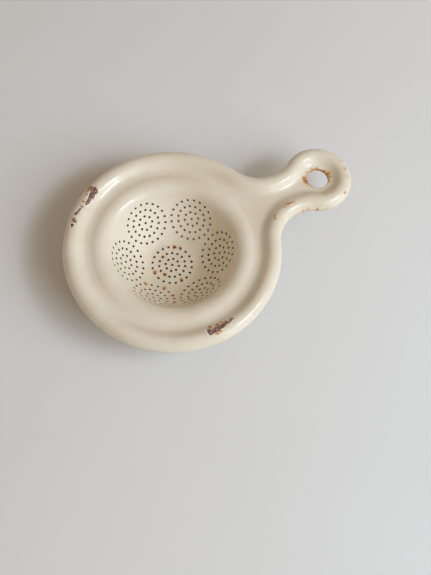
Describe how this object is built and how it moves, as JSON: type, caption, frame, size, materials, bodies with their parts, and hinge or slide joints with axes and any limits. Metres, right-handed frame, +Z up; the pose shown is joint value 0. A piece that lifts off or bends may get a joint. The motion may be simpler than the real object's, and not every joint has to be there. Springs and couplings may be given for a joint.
{
  "type": "tea strainer",
  "caption": "Shallow round strainer bowl with a broad grooved rim that sits over a cup, punched with rosettes of small holes, with a short flat handle and a hanging hole.",
  "frame": {"origin": "centre of the flat base under the bowl, on the bowl's axis", "axes": "+Z up along the bowl's axis, +X from the bowl towards the end of the handle"},
  "size_m": [0.1158, 0.08, 0.0193],
  "materials": {
    "sheet_steel": "low-carbon pressing steel, bare and rusted brown where the enamel has broken away",
    "ground_enamel": "dark brown-purple fired ground coat, glassy",
    "cream_enamel": "warm cream vitreous enamel, glossy, slightly uneven, rust stained at its chips and holes"
  },
  "bodies": {
    "root": {"steel_pressing": "sheet_steel", "ground_coat": "ground_enamel", "cream_coat": "cream_enamel"}
  },
  "joints": []
}
